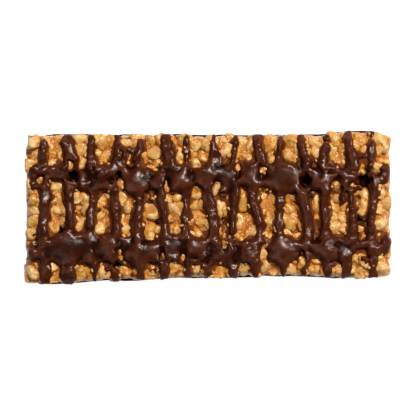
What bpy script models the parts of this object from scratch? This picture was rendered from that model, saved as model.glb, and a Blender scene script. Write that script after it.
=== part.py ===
"""A crisped-grain protein bar, lying flat with its drizzled side up.

Metres, +Z up; the bar's length runs along X and its width along Y. crisp_bar is the slab of
puffed crisps with its thick chocolate drizzle fused on. chocolate_base is the thin coat of
chocolate that the slab stands in, which shows as a dark rim.
"""

import math
import random

import bmesh
import bpy
from mathutils import Matrix, Vector, noise

MM = 0.001
UP = Vector((0, 0, 1))
SEED = 7

# Ends and long edges of the bar, seen from above, out to the crisps. The long edges aren't
# straight: each is a few (x, y) stations in millimetres, joined smoothly.
LEFT_END = -48.9 * MM
RIGHT_END = 48.9 * MM
BACK_EDGE = ((-50, 18.9), (-44, 19.5), (28, 19.4), (38, 20.4), (45, 20.3), (50, 19.0))
FRONT_EDGE = ((-50, -20.3), (-38, -20.4), (-28, -19.6), (0, -18.8), (24, -18.3), (40, -18.9), (50, -18.3))
CORNER_RADIUS = 3.0 * MM

# Heights of the layers, and how far each kind of piece stands out from the bare core
BASE_THICKNESS = 1.7 * MM
LAYER_GAP = 0.3 * MM
CORE_TOP = 13.0 * MM
CRISP_PROUD = 1.7 * MM
POOL_PROUD = 2.6 * MM
STRAND_PROUD = 2.8 * MM
SHOULDER_PROUD = 2.7 * MM

# Crisps. Those of the lowest row are pressed flat at their foot, just over the bare core's bottom.
CRISP_FOOT = BASE_THICKNESS + LAYER_GAP + 0.1 * MM
CRISP_RADIUS = 2.1 * MM
CRISP_SPREAD = 0.16
CRISP_PITCH = 3.9 * MM
ROW_PITCH = 3.5 * MM
JITTER = 0.5 * MM
TOP_INSET = 2.0 * MM
TOP_RISE = (-0.6 * MM, 0.1 * MM)
SIDE_ROW_HEIGHTS = (4.0 * MM, 7.5 * MM, 10.9 * MM)

# How far the surface of a lump waves in and out, as a share of its radius, and how finely
LUMP_DEPTH = 0.25
LUMP_WAVES = 1.7

# Each strand crosses the bar from the back edge to the front edge. A row holds its centre's x and
# its width, in millimetres, at each of the stations.
STRANDS = (
    ((-44.2, 2.2), (-44.5, 2.4), (-43.6, 2.6), (-44.5, 3.1), (-43.9, 2.7)),
    ((-37.8, 3.2), (-37.1, 4.0), (-37.8, 3.2), (-36.6, 3.5), (-37.9, 3.5)),
    ((-31.6, 2.2), (-31.4, 2.5), (-30.9, 2.3), (-31.7, 3.1), (-30.6, 2.2)),
    ((-24.7, 2.4), (-24.6, 3.0), (-25.2, 3.0), (-24.4, 3.4), (-25.1, 2.7)),
    ((-18.0, 2.3), (-19.0, 2.3), (-18.6, 2.6), (-18.9, 2.4), (-18.2, 2.4)),
    ((-11.5, 3.0), (-10.5, 3.8), (-12.7, 3.2), (-11.6, 2.8), (-12.6, 2.4)),
    ((-5.7, 2.1), (-5.9, 2.0), (-5.7, 3.2), (-6.1, 2.6), (-5.4, 2.2)),
    ((1.6, 2.3), (2.2, 3.2), (0.1, 3.0), (1.8, 3.3), (-0.1, 2.2)),
    ((7.3, 2.3), (6.6, 1.9), (7.2, 2.8), (6.5, 2.3), (7.3, 2.3)),
    ((13.4, 3.0), (14.3, 3.5), (12.2, 3.2), (14.3, 2.7), (12.2, 1.6)),
    ((19.6, 2.1), (18.9, 2.4), (19.7, 2.7), (19.2, 3.2), (20.4, 2.3)),
    ((25.1, 2.6), (25.9, 3.5), (25.8, 3.5), (26.7, 3.2), (25.9, 2.4)),
    ((31.7, 2.7), (31.1, 2.7), (31.8, 2.8), (31.9, 3.5), (32.3, 2.4)),
    ((37.9, 2.6), (38.6, 3.8), (38.5, 2.4), (38.3, 2.6), (37.4, 3.0)),
    ((44.3, 2.7), (44.0, 2.7), (44.8, 2.7), (44.3, 2.6), (44.7, 3.2)),
)
STRAND_STATIONS = (17.7, 12.8, 3.4, -4.7, -16.9)
STRAND_STEPS = 12
STRAND_SWELL = 0.12
STRAND_DIPS = 0.08
# How far inside the bar's edges a strand's rings over the top begin and end
STRAND_INSET = 4.5 * MM
# Strands that begin on the top, not on the back side: y of their rounded ends, in millimetres
HEADS = {0: 18.4, 4: 18.6, 12: 17.3}
# The rings of a strand's rounded end on the top: (how far from it, share of the width, height)
HEAD_RINGS = ((0, 0.4, 1.6 * MM), (0.8 * MM, 0.9, 2.6 * MM))
# The rings of a drop down a side: (height over its end, share of the width, how far it stands out)
DROP_RINGS = ((0, 0.4, 1.5 * MM), (0.7 * MM, 1.0, 2.3 * MM), (2.0 * MM, 0.9, 2.2 * MM))
DROP_LENGTHS = (3.0 * MM, 8.5 * MM)
SHOULDER_INSET = 0.3 * MM
# A strand's section in (across, out) shares of its half width and its height, from foot to foot
STRAND_SECTION = (
    (-1.0, -0.35),
    (-0.95, 0.45),
    (-0.55, 0.85),
    (0.0, 1.0),
    (0.55, 0.85),
    (0.95, 0.45),
    (1.0, -0.35),
)

# Chocolate pools between neighbouring strands lie in two bands along the bar. A row belongs to
# one gap, from the left end to the right end, and holds the y in millimetres where the upper
# pool starts and ends and where the lower pool starts and ends.
POOLS = (
    (11.2, 4.7, -8.8, -14.7),
    (12.0, 6.9, -7.7, -14.7),
    (13.5, 4.7, -6.1, -16.1),
    (12.0, 5.0, -7.7, -15.5),
    (12.3, 4.7, -8.5, -15.0),
    (10.9, 5.0, -8.5, -14.7),
    (12.6, 3.4, -6.2, -15.0),
    (11.5, 5.5, -8.0, -16.1),
    (12.8, 4.7, -8.2, -15.4),
    (12.8, 5.5, -9.0, -15.5),
    (12.3, 4.7, -8.8, -15.3),
    (12.6, 4.5, -8.2, -15.0),
    (11.7, 3.6, -8.2, -14.2),
    (11.2, 4.5, -7.2, -15.3),
    (11.5, 4.5, -8.8, -13.6),
    (11.2, 5.4, -7.4, -13.4),
)
POOL_OVERLAP = 0.3 * MM
# 2 makes a pool an ellipsoid and more makes it fill its corners
POOL_SQUARENESS = 3.5

# Round mounds where the chocolate gathered: x, y, radius and height over a pool, in millimetres
MOUNDS = (
    (-45.4, 10.3, 2.0, 1.2),
    (-40.0, 9.6, 2.4, 1.4),
    (-33.2, 5.9, 2.0, 1.6),
    (-27.1, 9.2, 3.0, 1.7),
    (-19.7, 6.9, 4.2, 1.6),
    (-13.6, 7.2, 2.4, 1.4),
    (-7.6, 7.2, 3.3, 1.8),
    (-0.5, 7.9, 3.3, 1.5),
    (10.7, 8.2, 3.3, 1.5),
    (20.1, 8.0, 5.0, 1.7),
    (26.9, 12.3, 1.7, 1.2),
    (31.6, 6.5, 3.2, 1.7),
    (37.0, 8.6, 2.4, 1.3),
    (40.4, 6.5, 1.7, 1.2),
    (47.6, 9.4, 2.3, 1.4),
    (-47.5, -11.4, 2.2, 1.2),
    (-38.6, -11.3, 5.4, 1.7),
    (-27.1, -10.0, 3.6, 1.7),
    (-19.7, -13.2, 3.0, 1.4),
    (-13.6, -11.3, 3.0, 1.5),
    (-8.9, -12.0, 2.6, 1.2),
    (-3.2, -10.7, 3.3, 1.5),
    (4.6, -11.3, 2.4, 1.3),
    (11.3, -11.7, 3.8, 1.6),
    (20.5, -11.3, 4.5, 1.7),
    (31.6, -10.7, 3.6, 1.6),
    (37.7, -13.8, 2.0, 1.2),
    (45.1, -11.3, 2.4, 1.3),
    (47.8, -10.0, 1.7, 1.1),
)
MOUND_SHARE = 0.5

# The base coat's uneven rim and its rounded edge
RIM_REACH = 0.5 * MM
RIM_WANDER = 0.5 * MM
RIM_WAVE = 6.0 * MM
RIM_ROUND = 0.5 * MM
RIM_CORNER = 60

BAR_TRIANGLES = 10400

CRISP_COLOUR = (0.62, 0.30, 0.075, 1)
CRISP_ROUGHNESS = 0.45
CHOCOLATE_COLOUR = (0.055, 0.020, 0.010, 1)
CHOCOLATE_ROUGHNESS = 0.3


def clear_scene():
    for obj in list(bpy.data.objects):
        bpy.data.objects.remove(obj)


def make_material(name, colour, roughness):
    material = bpy.data.materials.new(name)
    material.use_nodes = True
    shader = material.node_tree.nodes["Principled BSDF"]
    shader.inputs["Base Color"].default_value = colour
    shader.inputs["Roughness"].default_value = roughness
    material.diffuse_color = colour
    return material


def make_object(name, bm, material):
    bmesh.ops.recalc_face_normals(bm, faces=bm.faces)
    mesh = bpy.data.meshes.new(name)
    bm.to_mesh(mesh)
    bm.free()
    mesh.materials.append(material)
    obj = bpy.data.objects.new(name, mesh)
    bpy.context.scene.collection.objects.link(obj)
    return obj


def eased(stations, at):
    """The value at a place among (place, value) stations, eased from each one to the next."""
    if at <= stations[0][0]:
        return stations[0][1]
    for (start, low), (end, high) in zip(stations, stations[1:]):
        if at <= end:
            share = (at - start) / (end - start)
            return low + (high - low) * share * share * (3 - 2 * share)
    return stations[-1][1]


def back_edge(x):
    return eased(BACK_EDGE, x / MM) * MM


def front_edge(x):
    return eased(FRONT_EDGE, x / MM) * MM


def strand_at(strand, y):
    """The x of a strand's centre and its width at y."""
    places = [-place for place in STRAND_STATIONS]
    centres = [(place, pair[0]) for place, pair in zip(places, strand)]
    widths = [(place, pair[1]) for place, pair in zip(places, strand)]
    return eased(centres, -y / MM) * MM, eased(widths, -y / MM) * MM


def on_bar(x, share):
    """The place at x that is this share of the way from the front edge to the back edge."""
    return Vector((x, front_edge(x) + (back_edge(x) - front_edge(x)) * share))


def outline(inset, spacing):
    """(place, outward) pairs round the bar, about this far apart and this far inside its edge."""
    half_length = (RIGHT_END - LEFT_END) / 2 - CORNER_RADIUS
    half_width = (back_edge(0) - front_edge(0)) / 2 - CORNER_RADIUS
    pairs = []
    for quarter in range(4):
        # One straight side, then the corner after it, going clockwise from the back left corner.
        outward = Matrix.Rotation(-quarter * math.pi / 2, 2) @ Vector((0, 1))
        along = Vector((outward.y, -outward.x))
        half_side, half_other = (half_length, half_width) if quarter % 2 == 0 else (half_width, half_length)
        steps = round(2 * half_side / spacing)
        for step in range(steps):
            flat = outward * (half_other + CORNER_RADIUS) + along * half_side * (2 * step / steps - 1)
            pairs.append((flat, outward))
        turns = max(2, round(CORNER_RADIUS * math.pi / 2 / spacing))
        for turn in range(turns):
            angle = math.pi / 2 * turn / turns
            turned = outward * math.cos(angle) + along * math.sin(angle)
            pairs.append((outward * half_other + along * half_side + turned * CORNER_RADIUS, turned))
    width = 2 * (half_width + CORNER_RADIUS)
    middle = (LEFT_END + RIGHT_END) / 2
    return [(on_bar(middle + flat.x, flat.y / width + 0.5) - out * inset, out) for flat, out in pairs]


def slab(name, points, bottom, top, material):
    """An upright solid over a closed outline."""
    bm = bmesh.new()
    face = bm.faces.new([bm.verts.new((x, y, bottom)) for x, y in points])
    grown = bmesh.ops.extrude_face_region(bm, geom=[face])["geom"]
    lifted = [item for item in grown if isinstance(item, bmesh.types.BMVert)]
    bmesh.ops.translate(bm, verts=lifted, vec=UP * (top - bottom))
    return make_object(name, bm, material)


def lump(name, centre, sizes, turn, roundness, material, squareness=2):
    """An uneven lump with few sides, its half sizes given along its own turned axes."""
    bm = bmesh.new()
    bmesh.ops.create_icosphere(bm, subdivisions=roundness, radius=1)
    for vertex in bm.verts:
        vertex.co /= sum(abs(part) ** squareness for part in vertex.co) ** (1 / squareness)
        vertex.co *= 1 + LUMP_DEPTH * noise.noise(vertex.co * LUMP_WAVES + centre / MM)
    shape = Matrix.Translation(centre) @ turn @ Matrix.Diagonal((*sizes, 1))
    bmesh.ops.transform(bm, matrix=shape, verts=bm.verts)
    for vertex in bm.verts:
        vertex.co.z = max(vertex.co.z, CRISP_FOOT)
    return make_object(name, bm, material)


def crisp(name, centre, rng, material):
    sizes = [CRISP_RADIUS * rng.uniform(1 - CRISP_SPREAD, 1 + CRISP_SPREAD) for _ in range(3)]
    axis = Vector((rng.gauss(0, 1), rng.gauss(0, 1), rng.gauss(0, 1)))
    turn = Matrix.Rotation(rng.uniform(0, math.pi), 4, axis)
    return lump(name, centre, sizes, turn, 1, material)


def side_crisps(rng, material):
    """Rows of crisps round the sides, half sunk in the core."""
    made = []
    for row, height in enumerate(SIDE_ROW_HEIGHTS):
        for place, outward in outline(CRISP_PROUD, CRISP_PITCH):
            along = Vector((outward.y, -outward.x))
            place = place + along * (rng.uniform(-JITTER, JITTER) + CRISP_PITCH / 2 * (row % 2))
            z = height + rng.uniform(-JITTER, JITTER) / 2
            made.append(crisp(f"side_crisp_{len(made)}", Vector((*place, z)), rng, material))
    return made


def under_chocolate(x, y):
    """Whether a crisp centred here would lie under the drizzle."""
    crossed = [strand_at(strand, y) for strand in STRANDS]
    if any(abs(x - centre) < width / 2 for centre, width in crossed):
        return True
    upper_start, upper_end, lower_start, lower_end = POOLS[sum(x > centre for centre, _ in crossed)]
    return upper_end < y / MM < upper_start or lower_end < y / MM < lower_start


def top_crisps(rng, material):
    """Staggered rows of crisps over the top, where the chocolate leaves them bare."""
    made = []
    length = RIGHT_END - LEFT_END - 2 * TOP_INSET
    columns = round(length / CRISP_PITCH)
    rows = round((back_edge(0) - front_edge(0) - 2 * TOP_INSET) / ROW_PITCH)
    for row in range(rows + 1):
        for column in range(columns + 1 - row % 2):
            share = (column + 0.5 * (row % 2)) / columns
            x = LEFT_END + TOP_INSET + length * share + rng.uniform(-JITTER, JITTER)
            inner = Vector((0, TOP_INSET * (1 - 2 * row / rows)))
            place = on_bar(x, row / rows) + inner + Vector((0, rng.uniform(-JITTER, JITTER)))
            z = CORE_TOP + rng.uniform(*TOP_RISE)
            if not under_chocolate(*place):
                made.append(crisp(f"top_crisp_{len(made)}", Vector((*place, z)), rng, material))
    return made


def section(place, out, half_width, height):
    """One ring of a strand, standing this high from the core's surface."""
    across = Vector((half_width, 0, 0))
    return [place + across * sideways + out * height * rise for sideways, rise in STRAND_SECTION]


def drop_sections(strand, edge, direction, rng):
    """A strand's rings down one side of the bar, from its rounded end up to the bar's shoulder."""
    x, width = strand_at(strand, edge(0))
    wall = edge(x) - direction * CRISP_PROUD
    outward = Vector((0, direction, 0))
    end = CORE_TOP - rng.uniform(*DROP_LENGTHS)
    shoulder = Vector((x, wall - direction * SHOULDER_INSET, CORE_TOP - SHOULDER_INSET))
    rings = []
    for rise, share, proud in DROP_RINGS:
        rings.append(section(Vector((x, wall, end + rise)), outward, width / 2 * share, proud))
    return rings + [section(shoulder, (outward + UP).normalized(), width / 2, SHOULDER_PROUD)]


def head_sections(strand, end):
    """A strand's rings at its rounded end on the top."""
    rings = []
    for inset, share, height in HEAD_RINGS:
        x, width = strand_at(strand, end - inset)
        rings.append(section(Vector((x, end - inset, CORE_TOP)), UP, width / 2 * share, height))
    return rings


def strand_sections(index, rng):
    """Rings of a strand from its drop on the back side, over the top, to its front drop."""
    strand = STRANDS[index]
    start = back_edge(0) - STRAND_INSET
    end = front_edge(0) + STRAND_INSET
    over = []
    for step in range(STRAND_STEPS):
        y = start + (end - start) * step / (STRAND_STEPS - 1)
        x, width = strand_at(strand, y)
        half_width = width / 2 * rng.uniform(1 - STRAND_SWELL, 1 + STRAND_SWELL)
        height = STRAND_PROUD * rng.uniform(1 - STRAND_DIPS, 1)
        over.append(section(Vector((x, y, CORE_TOP)), UP, half_width, height))
    if index in HEADS:
        back = head_sections(strand, HEADS[index] * MM)
    else:
        back = drop_sections(strand, back_edge, 1, rng)
    front = drop_sections(strand, front_edge, -1, rng)
    return back + over + front[::-1]


def loft(name, rings, material):
    """A closed solid through rings with the same number of points."""
    bm = bmesh.new()
    loops = [[bm.verts.new(point) for point in ring] for ring in rings]
    for first, second in zip(loops, loops[1:]):
        for index in range(len(first)):
            after = (index + 1) % len(first)
            bm.faces.new((first[index], first[after], second[after], second[index]))
    bm.faces.new(loops[0])
    bm.faces.new(loops[-1])
    return make_object(name, bm, material)


def strands(rng, material):
    return [loft(f"strand_{index}", strand_sections(index, rng), material) for index in range(len(STRANDS))]


def pools(material):
    """Low mounds of chocolate that bridge the gaps between the strands."""
    made = []
    for index, ends in enumerate(POOLS):
        for start, end in (ends[:2], ends[2:]):
            y = (start + end) / 2 * MM
            left = strand_at(STRANDS[index - 1], y)[0] if index else LEFT_END + CRISP_PROUD
            right = strand_at(STRANDS[index], y)[0] if index < len(STRANDS) else RIGHT_END - CRISP_PROUD
            centre = Vector(((left + right) / 2, y, CORE_TOP))
            sizes = ((right - left) / 2 + POOL_OVERLAP, (start - end) / 2 * MM + POOL_OVERLAP, POOL_PROUD)
            turn = Matrix.Identity(4)
            made.append(lump(f"pool_{len(made)}", centre, sizes, turn, 2, material, POOL_SQUARENESS))
    return made


def mounds(material):
    """Round mounds that stand higher than the pools."""
    made = []
    for x, y, radius, height in MOUNDS:
        centre = Vector((x, y, 0)) * MM + UP * CORE_TOP
        sizes = (radius * MM, radius * MM, POOL_PROUD + MOUND_SHARE * height * MM)
        made.append(lump(f"mound_{len(made)}", centre, sizes, Matrix.Identity(4), 2, material))
    return made


def apply_modifier(obj, modifier):
    bpy.context.view_layer.objects.active = obj
    bpy.ops.object.modifier_apply(modifier=modifier.name)


def fuse(body, pieces):
    """Joins the pieces to the body in one union and removes them."""
    group = bpy.data.collections.new("fused")
    bpy.context.scene.collection.children.link(group)
    for piece in pieces:
        group.objects.link(piece)
        bpy.context.scene.collection.objects.unlink(piece)
    union = body.modifiers.new("Union", "BOOLEAN")
    union.operation = "UNION"
    union.operand_type = "COLLECTION"
    union.collection = group
    union.solver = "MANIFOLD"
    apply_modifier(body, union)
    for piece in pieces:
        bpy.data.objects.remove(piece)
    bpy.data.collections.remove(group)


def shells(bm):
    """The connected shells of a mesh, each as a list of faces."""
    left = set(bm.faces)
    found = []
    while left:
        shell = []
        front = [left.pop()]
        while front:
            face = front.pop()
            shell.append(face)
            near = {other for edge in face.edges for other in edge.link_faces} & left
            left -= near
            front += near
        found.append(shell)
    return found


def clean_shell(obj):
    """Leaves the outer shell in triangles: no loose scraps, walls of sealed hollows or folded pairs."""
    bm = bmesh.new()
    bm.from_mesh(obj.data)
    for shell in sorted(shells(bm), key=len)[:-1]:
        bmesh.ops.delete(bm, geom=shell, context="FACES")
    bmesh.ops.triangulate(bm, faces=bm.faces, ngon_method="EAR_CLIP")
    by_corners = {}
    for face in bm.faces:
        by_corners.setdefault(frozenset(face.verts), []).append(face)
    folded = [face for faces in by_corners.values() if len(faces) > 1 for face in faces]
    bmesh.ops.delete(bm, geom=folded, context="FACES")
    bm.to_mesh(obj.data)
    bm.free()


def thin_out(obj, triangles):
    """Merges small faces until about this many are left."""
    thinner = obj.modifiers.new("Thin out", "DECIMATE")
    thinner.ratio = min(1, triangles / len(obj.data.polygons))
    apply_modifier(obj, thinner)


def crisp_bar(crisps, chocolate):
    rng = random.Random(SEED)
    core_outline = [place for place, _ in outline(CRISP_PROUD, CRISP_PITCH)]
    body = slab("crisp_bar", core_outline, BASE_THICKNESS + LAYER_GAP, CORE_TOP, crisps)
    body.data.materials.append(chocolate)
    drizzle = strands(rng, chocolate) + pools(chocolate) + mounds(chocolate)
    fuse(body, drizzle + side_crisps(rng, crisps) + top_crisps(rng, crisps))
    clean_shell(body)
    thin_out(body, BAR_TRIANGLES)


def chocolate_base(chocolate):
    """The coat under the slab, a little uneven where it has squeezed out past the crisps."""
    rim = []
    for place, outward in outline(0, CRISP_PITCH):
        wander = noise.noise(place.to_3d() / RIM_WAVE)
        rim.append(place + outward * (RIM_REACH + RIM_WANDER * wander))
    body = slab("chocolate_base", rim, 0, BASE_THICKNESS, chocolate)
    bevel = body.modifiers.new("Bevel", "BEVEL")
    bevel.width = RIM_ROUND
    bevel.segments = 2
    bevel.limit_method = "ANGLE"
    bevel.angle_limit = math.radians(RIM_CORNER)


def main():
    clear_scene()
    crisps = make_material("crisps", CRISP_COLOUR, CRISP_ROUGHNESS)
    chocolate = make_material("chocolate", CHOCOLATE_COLOUR, CHOCOLATE_ROUGHNESS)
    crisp_bar(crisps, chocolate)
    chocolate_base(chocolate)


main()
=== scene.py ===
"""Looks for the crisped-grain protein bar: real crisps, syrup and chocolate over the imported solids.

Lengths are in millimetres and turn into metres where a mesh is made. X runs along the bar, Y
across it and Z up. The placement rules are those of the part's source, made finer here.
"""

import itertools
import math
import random

import bpy
import numpy as np
from mathutils import Matrix, Vector


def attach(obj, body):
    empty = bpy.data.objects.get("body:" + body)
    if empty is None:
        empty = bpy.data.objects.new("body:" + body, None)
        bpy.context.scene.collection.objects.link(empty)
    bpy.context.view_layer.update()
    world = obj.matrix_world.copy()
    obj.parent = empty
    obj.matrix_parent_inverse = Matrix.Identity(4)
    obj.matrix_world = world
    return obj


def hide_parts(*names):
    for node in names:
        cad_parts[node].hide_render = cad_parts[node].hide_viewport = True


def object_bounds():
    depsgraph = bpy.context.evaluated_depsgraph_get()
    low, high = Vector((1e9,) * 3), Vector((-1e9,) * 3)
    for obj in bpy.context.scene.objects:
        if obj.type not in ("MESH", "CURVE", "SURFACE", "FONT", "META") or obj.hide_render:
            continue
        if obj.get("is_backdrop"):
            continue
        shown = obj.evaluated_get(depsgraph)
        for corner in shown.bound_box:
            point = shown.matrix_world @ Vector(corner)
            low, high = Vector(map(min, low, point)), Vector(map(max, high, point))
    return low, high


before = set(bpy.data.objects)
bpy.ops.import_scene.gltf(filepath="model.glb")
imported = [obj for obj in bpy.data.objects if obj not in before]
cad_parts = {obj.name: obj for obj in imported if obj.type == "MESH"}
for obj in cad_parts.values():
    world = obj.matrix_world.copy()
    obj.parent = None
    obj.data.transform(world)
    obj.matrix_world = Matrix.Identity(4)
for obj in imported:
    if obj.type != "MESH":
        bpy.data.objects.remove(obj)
cad_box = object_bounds()

MM = 0.001
SEED = 7

# Plan of the bar, out to its crisps
LEFT_END = -49.3
RIGHT_END = 49.4
BACK_EDGE = ((-50, 18.9), (-44, 19.5), (28, 19.4), (38, 20.4), (45, 20.3), (50, 19.0))
FRONT_EDGE = ((-50, -20.3), (-38, -20.4), (-28, -19.6), (0, -18.8), (24, -18.3), (40, -18.9), (50, -18.3))
LEFT_EDGE = ((-20, -49.3), (-15.5, -49.9), (-9, -49.7), (-2, -49.4), (9, -49.1), (14, -49.2), (18, -48.7))
RIGHT_EDGE = ((-18, 49.4), (-15, 49.9), (-8, 49.7), (0, 49.4), (12, 49.4), (14.5, 49.0), (18, 49.5))
CORNER_RADIUS = 2.6

# Heights of the layers
CORE_BOTTOM = 2.0
CORE_TOP = 13.0
CRISP_FOOT = 2.1
# How far the crisps stand out of the core, and the back row's crisps over the base's back edge
CRISP_PROUD = 1.7
BACK_REACH = 0.35

# Crisps: their half sizes, how far out their face is pressed, and where their rows lie
CRISP_HALF_SIZES = ((2.1, 3.1), (1.6, 2.3), (1.6, 2.1))
PRESS = (1.6, 2.2)
CRISP_PITCH = 3.2
TOP_ROW_PITCH = 2.88
JITTER = 0.8
SIDE_ROW_HEIGHTS = (3.4, 7.0, 10.7)
TOP_INSET = 2.0
TOP_RISE = (-0.5, 0.3)
# How much the outer face tilts and the crisp leans, how boxy it is (2 makes an ellipsoid), and how
# the even draw of its folds is bent: below 1 for more folds
FACE_TILT = 0.16
CRISP_LEAN = 0.35
BOXINESS = (1.9, 2.4)
FOLD_BEND = 0.6
# How far inside the bar's outline a crisp stays
EDGE_INSET = (-0.60, 0.15)
# Swells, blisters, wrinkles: length on a ball of radius 1, share of the radius, height on the face
CRISP_RELIEF = ((2.2, 0.16, 0.30), (1.1, 0.11, 0.20), (0.55, 0.05, 0.08))
# The share of its blisters and wrinkles that the least folded crisp has
LEAST_FOLDED = 0.65
# Over what length a crisp is eased onto its pressed face and the bar's outline
PRESS_SOFTNESS = 0.9
EDGE_SOFTNESS = 0.6
# How far from its centre a crisp adds to the body
CRISP_REACH = 5.0
# Crisps more folded than this make up the puffed piece
PUFFED_FROM = 0.66
# A crisp that stays deeper than this in the chocolate is left out
SHOWN_FROM = -0.05
# Crisps at bare spots: height over the core, what they measure beyond the spot, half height, turn
POKING_RISE = 0.7
POKING_MARGIN = (0.4, 0.2)
POKING_HALF_HEIGHT = 1.9
POKING_TURN = 0.4
# Crumbs: how many, their half sizes, and the chocolate's thickness and height where they stick
CRUMBS = 80
CRUMB_HALF_SIZE = (0.25, 0.65)
CRUMB_COAT = (0.02, 0.40)
CRUMB_RISE = 0.5
# Cuts along each edge of the cube that makes a ball
TOP_CUTS = 9
SIDE_CUTS = 6
CRUMB_CUTS = 4
TEST_CUTS = 5

# Strands of drizzle: (x of the centre, width) at each of the strand stations, the y of which follow
STRANDS = (
    ((-44.2, 2.2), (-44.5, 2.4), (-43.6, 2.6), (-44.6, 2.9), (-43.9, 3.2)),
    ((-37.8, 3.2), (-36.9, 3.7), (-37.5, 2.9), (-37.2, 2.7), (-37.9, 4.2)),
    ((-31.6, 2.2), (-31.4, 2.5), (-30.9, 2.3), (-31.7, 3.1), (-30.6, 2.5)),
    ((-24.7, 2.4), (-24.6, 3.0), (-25.3, 2.9), (-24.7, 3.1), (-25.1, 3.1)),
    ((-18.0, 2.3), (-19.0, 2.3), (-18.6, 2.6), (-19.3, 3.2), (-18.2, 3.1)),
    ((-11.5, 3.0), (-10.3, 3.8), (-12.7, 3.2), (-11.6, 2.8), (-11.7, 3.0)),
    ((-5.7, 2.1), (-5.9, 2.0), (-5.7, 3.2), (-6.1, 2.6), (-5.4, 2.5)),
    ((1.6, 2.3), (2.2, 3.2), (-0.2, 3.4), (1.8, 3.3), (-0.6, 3.2)),
    ((7.5, 2.6), (6.9, 2.2), (7.2, 2.8), (6.5, 2.3), (6.9, 4.6)),
    ((13.4, 3.0), (14.3, 3.5), (11.8, 3.2), (14.2, 2.7), (12.9, 3.1)),
    ((19.6, 2.1), (18.9, 2.4), (19.7, 2.7), (19.2, 3.2), (20.4, 2.4)),
    ((25.1, 2.6), (25.7, 3.0), (25.4, 3.2), (27.1, 3.3), (25.9, 2.8)),
    ((31.7, 2.7), (31.1, 2.7), (31.4, 2.6), (31.7, 3.2), (32.3, 2.7)),
    ((37.9, 2.6), (38.9, 3.8), (38.6, 2.6), (39.1, 3.3), (37.4, 3.8)),
    ((44.3, 2.7), (44.0, 2.7), (44.8, 2.7), (43.9, 2.4), (44.7, 3.5)),
)
STRAND_STATIONS = (17.7, 12.8, 3.4, -4.7, -16.9)
# Strands that begin on the top, not over its back edge: y of their rounded ends
HEADS = {0: 18.4, 4: 18.6, 12: 17.3}
# How far down the sides the strands run
DROP_LENGTHS = (3.0, 8.5)
# The wander of a strand's width, as a length and a share
STRAND_WANDER = (5.0, 0.20)
# How far past its centre line a strand covers the pool beside it, as a share of its width
STRAND_COVER = 0.45
# How steep a strand's distance is, and at how many squared half widths it stops growing
STRAND_SLOPE = 0.75
STRAND_REACH = 9

# Pools between the strands, gap by gap from the left: y where the upper pool starts and ends and
# where the lower one does
POOLS = (
    (12.0, 4.0, -8.8, -14.7), (12.0, 6.9, -8.3, -14.7), (13.5, 4.7, -6.1, -16.1),
    (12.0, 3.8, -7.7, -15.5), (12.3, 4.7, -7.1, -15.0), (10.6, 3.9, -8.1, -15.8),
    (12.6, 3.4, -6.2, -15.0), (11.5, 5.5, -8.0, -16.1), (12.8, 2.9, -8.2, -15.4),
    (12.8, 5.5, -9.0, -15.5), (12.3, 4.7, -8.8, -15.3), (12.6, 3.7, -8.2, -15.0),
    (11.7, 3.6, -8.2, -14.2), (10.6, 4.5, -7.2, -15.3), (9.9, 4.0, -8.1, -12.1),
    (12.0, 5.4, -9.8, -13.4),
)
# Where the outermost pools end, what comes off a pool's ends, and how round its corners are
POOL_ENDS = (LEFT_END + 0.5, RIGHT_END - 0.2)
POOL_TRIM = 0.45
POOL_CORNER = 1.2
# How far below the core's top a pool's sides start to close, and how fast
POOL_DEPTH = 2.0
POOL_TAPER = 0.6

# Crisps that show through the pools: x, y and half sizes of the bare spot
BARE_SPOTS = (
    (-45.2, 7.4, 0.8, 1.1), (-37.0, 11.2, 0.8, 1.4), (-34.0, 12.0, 1.1, 1.6),
    (-26.2, 7.4, 0.6, 0.8), (-23.8, 6.4, 1.0, 1.7), (-11.1, 5.6, 0.7, 2.2),
    (2.2, 5.3, 1.0, 2.1), (8.1, 10.7, 0.8, 2.4), (14.6, 9.8, 1.0, 1.6),
    (34.6, 6.1, 1.0, 1.6), (38.9, 6.1, 0.8, 0.8), (45.4, 10.6, 1.2, 1.6),
    (-23.8, -12.5, 0.9, 1.6), (39.8, -14.3, 0.9, 1.4), (-12.4, -12.8, 0.6, 1.6),
    (-6.8, -13.4, 0.6, 1.1), (4.3, -10.1, 0.8, 1.1), (15.1, -12.8, 1.1, 3.0),
    (25.6, -14.4, 0.9, 2.0),
)

# Deep dark pits in the top: x, y, radius
PITS = (
    (-36.5, 8.5, 1.3), (-24.0, 8.6, 0.8), (-39.7, -6.1, 0.8), (26.4, 6.9, 1.5),
    (42.2, 7.2, 1.9), (41.5, -2.9, 0.9), (-24.3, -15.4, 1.0), (-13.7, -4.0, 0.6),
    (3.8, -3.3, 0.7), (-46.8, -9.6, 0.8),
)
PIT_DEPTH = 3.4
# The height where the pits end and how much higher they have their full depth
PIT_FLOOR = 8.0
PIT_FADE = 3.0
# Crisps move out to this far from a pit's edge and are made smaller, or go when this near its middle
PIT_RIM = 1.8
PIT_MIDDLE = 0.8

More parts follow.
